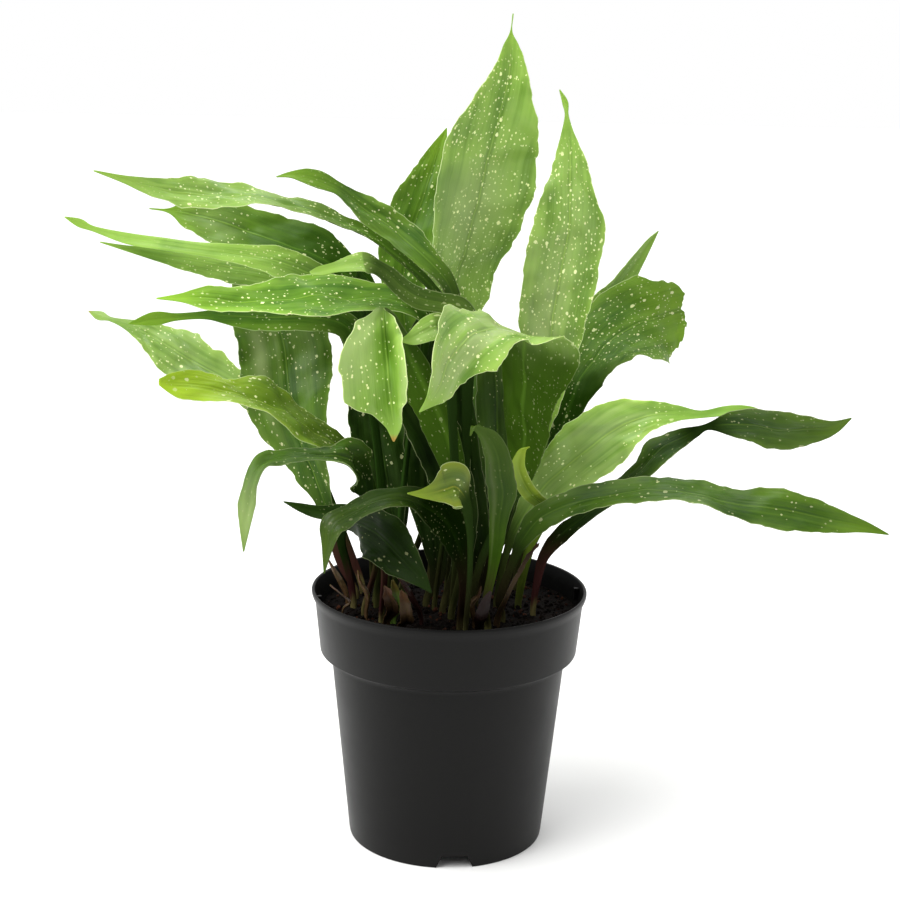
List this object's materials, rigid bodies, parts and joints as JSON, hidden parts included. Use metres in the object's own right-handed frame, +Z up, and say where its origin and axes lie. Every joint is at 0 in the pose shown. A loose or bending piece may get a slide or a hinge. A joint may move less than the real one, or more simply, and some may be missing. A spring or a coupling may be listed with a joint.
{
  "type": "potted cast iron plant",
  "caption": "Cast iron plant with speckled, arching lance-shaped leaves rising from compost in a round black nursery pot with a stepped collar.",
  "frame": {"origin": "middle of the whole object's box, at the level of the pot's foot", "axes": "+Z up out of the pot, -Y toward the plant's best side, +X to the right of someone who faces that side"},
  "size_m": [0.5564, 0.3554, 0.5651],
  "materials": {
    "pot": "satin black",
    "compost": "moist crumbly compost",
    "leaf_light": "waxy leaf, pale green with cream speckles",
    "leaf_middle": "waxy leaf, mid green with cream speckles",
    "leaf_deep": "waxy leaf, dark green with cream speckles",
    "leaf_yellow": "waxy leaf, yellow-green",
    "husk": "dry, fibrous"
  },
  "bodies": {
    "root": {"pot": "pot", "compost": "compost", "tall_centre": "leaf_light", "tall_right": "leaf_light", "behind_centre": "leaf_middle", "right_broad_back": "leaf_middle", "right_narrow_back": "leaf_light", "right_arching": "leaf_middle", "right_twisted": "leaf_deep", "right_long": "leaf_middle", "right_small_curled": "leaf_yellow", "front_flap": "leaf_light", "front_cup": "leaf_light", "left_long_top": "leaf_light", "left_upper_behind": "leaf_middle", "left_back_broad": "leaf_middle", "left_folded": "leaf_light", "left_pointed": "leaf_light", "left_middle": "leaf_middle", "centre_pale_twist": "leaf_light", "centre_small_tip": "leaf_light", "left_low_back": "leaf_light", "left_under_middle": "leaf_deep", "left_big_back": "leaf_deep", "left_bright": "leaf_yellow", "left_drooping": "leaf_middle", "left_dark_low": "leaf_deep", "front_left_low": "leaf_deep", "low_dark_drooping": "leaf_deep", "yellow_flap": "leaf_yellow", "front_blade": "leaf_middle", "inner_left": "leaf_deep", "inner_centre": "leaf_deep", "inner_diagonal": "leaf_deep", "inner_right": "leaf_deep", "inner_narrow": "leaf_deep", "rear_centre": "leaf_deep", "rear_right": "leaf_deep", "rear_left": "leaf_deep", "sheath_left": "husk", "sheath_left_front": "husk", "sheath_cluster_left": "husk", "shoot_green": "leaf_yellow", "sheath_cluster_right": "husk", "sheath_dark_leaning": "husk", "sheath_brown_right": "husk", "sheath_purple": "husk", "dead_stalk_right": "husk", "dead_stalk_left": "husk"}
  },
  "joints": []
}
